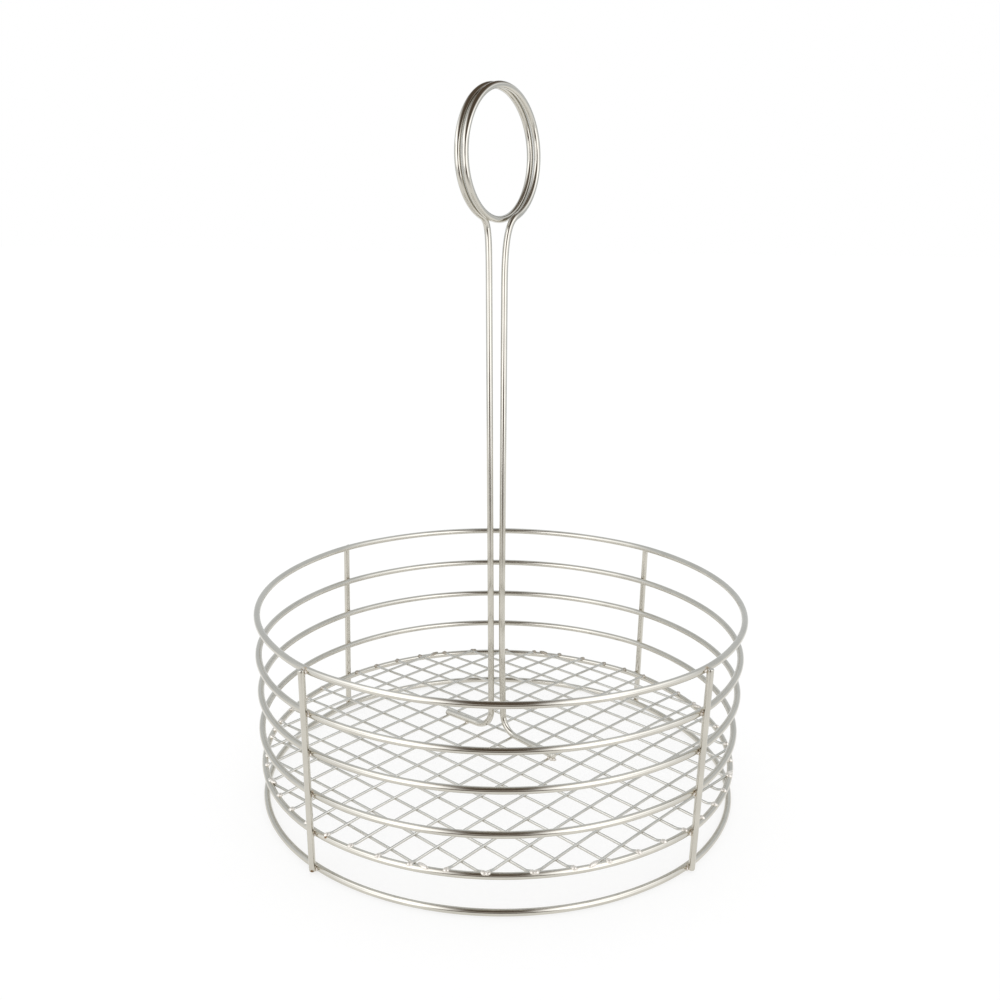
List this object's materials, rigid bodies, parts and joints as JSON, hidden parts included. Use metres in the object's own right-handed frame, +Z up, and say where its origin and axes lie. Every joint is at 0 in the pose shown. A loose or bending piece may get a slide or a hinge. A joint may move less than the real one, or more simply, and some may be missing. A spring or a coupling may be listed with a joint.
{
  "type": "condiment basket",
  "caption": "Round open basket of welded steel wire with a square-mesh floor and a tall wire handle ending in a finger loop, for carrying condiment bottles to a table.",
  "frame": {"origin": "centre of the base ring, on the table plane", "axes": "+Z up along the basket's axis, +X to the right and +Y away from the viewer; the mesh wires run at 45 degrees to X and Y"},
  "size_m": [0.2178, 0.2178, 0.3071],
  "materials": {
    "frame_wire": "satin-bright drawn steel wire, warm grey, with heat tint at the welds",
    "mesh_wire": "satin drawn steel wire, a little duller, with heat tint at the crossings"
  },
  "bodies": {
    "root": {"base_ring": "frame_wire", "floor_ring": "frame_wire", "wall_ring_lower": "frame_wire", "wall_ring_middle": "frame_wire", "wall_ring_upper": "frame_wire", "rim_ring": "frame_wire", "upright_front_left": "frame_wire", "upright_front_right": "frame_wire", "upright_back_right": "frame_wire", "upright_back_left": "frame_wire", "handle_wire": "frame_wire", "mesh_lower_wire_01": "mesh_wire", "mesh_lower_wire_02": "mesh_wire", "mesh_lower_wire_03": "mesh_wire", "mesh_lower_wire_04": "mesh_wire", "mesh_lower_wire_05": "mesh_wire", "mesh_lower_wire_06": "mesh_wire", "mesh_lower_wire_07": "mesh_wire", "mesh_lower_wire_08": "mesh_wire", "mesh_lower_wire_09": "mesh_wire", "mesh_lower_wire_10": "mesh_wire", "mesh_lower_wire_11": "mesh_wire", "mesh_lower_wire_12": "mesh_wire", "mesh_lower_wire_13": "mesh_wire", "mesh_lower_wire_14": "mesh_wire", "mesh_lower_wire_15": "mesh_wire", "mesh_lower_wire_16": "mesh_wire", "mesh_upper_wire_01": "mesh_wire", "mesh_upper_wire_02": "mesh_wire", "mesh_upper_wire_03": "mesh_wire", "mesh_upper_wire_04": "mesh_wire", "mesh_upper_wire_05": "mesh_wire", "mesh_upper_wire_06": "mesh_wire", "mesh_upper_wire_07": "mesh_wire", "mesh_upper_wire_08": "mesh_wire", "mesh_upper_wire_09": "mesh_wire", "mesh_upper_wire_10": "mesh_wire", "mesh_upper_wire_11": "mesh_wire", "mesh_upper_wire_12": "mesh_wire", "mesh_upper_wire_13": "mesh_wire", "mesh_upper_wire_14": "mesh_wire", "mesh_upper_wire_15": "mesh_wire", "mesh_upper_wire_16": "mesh_wire"}
  },
  "joints": []
}
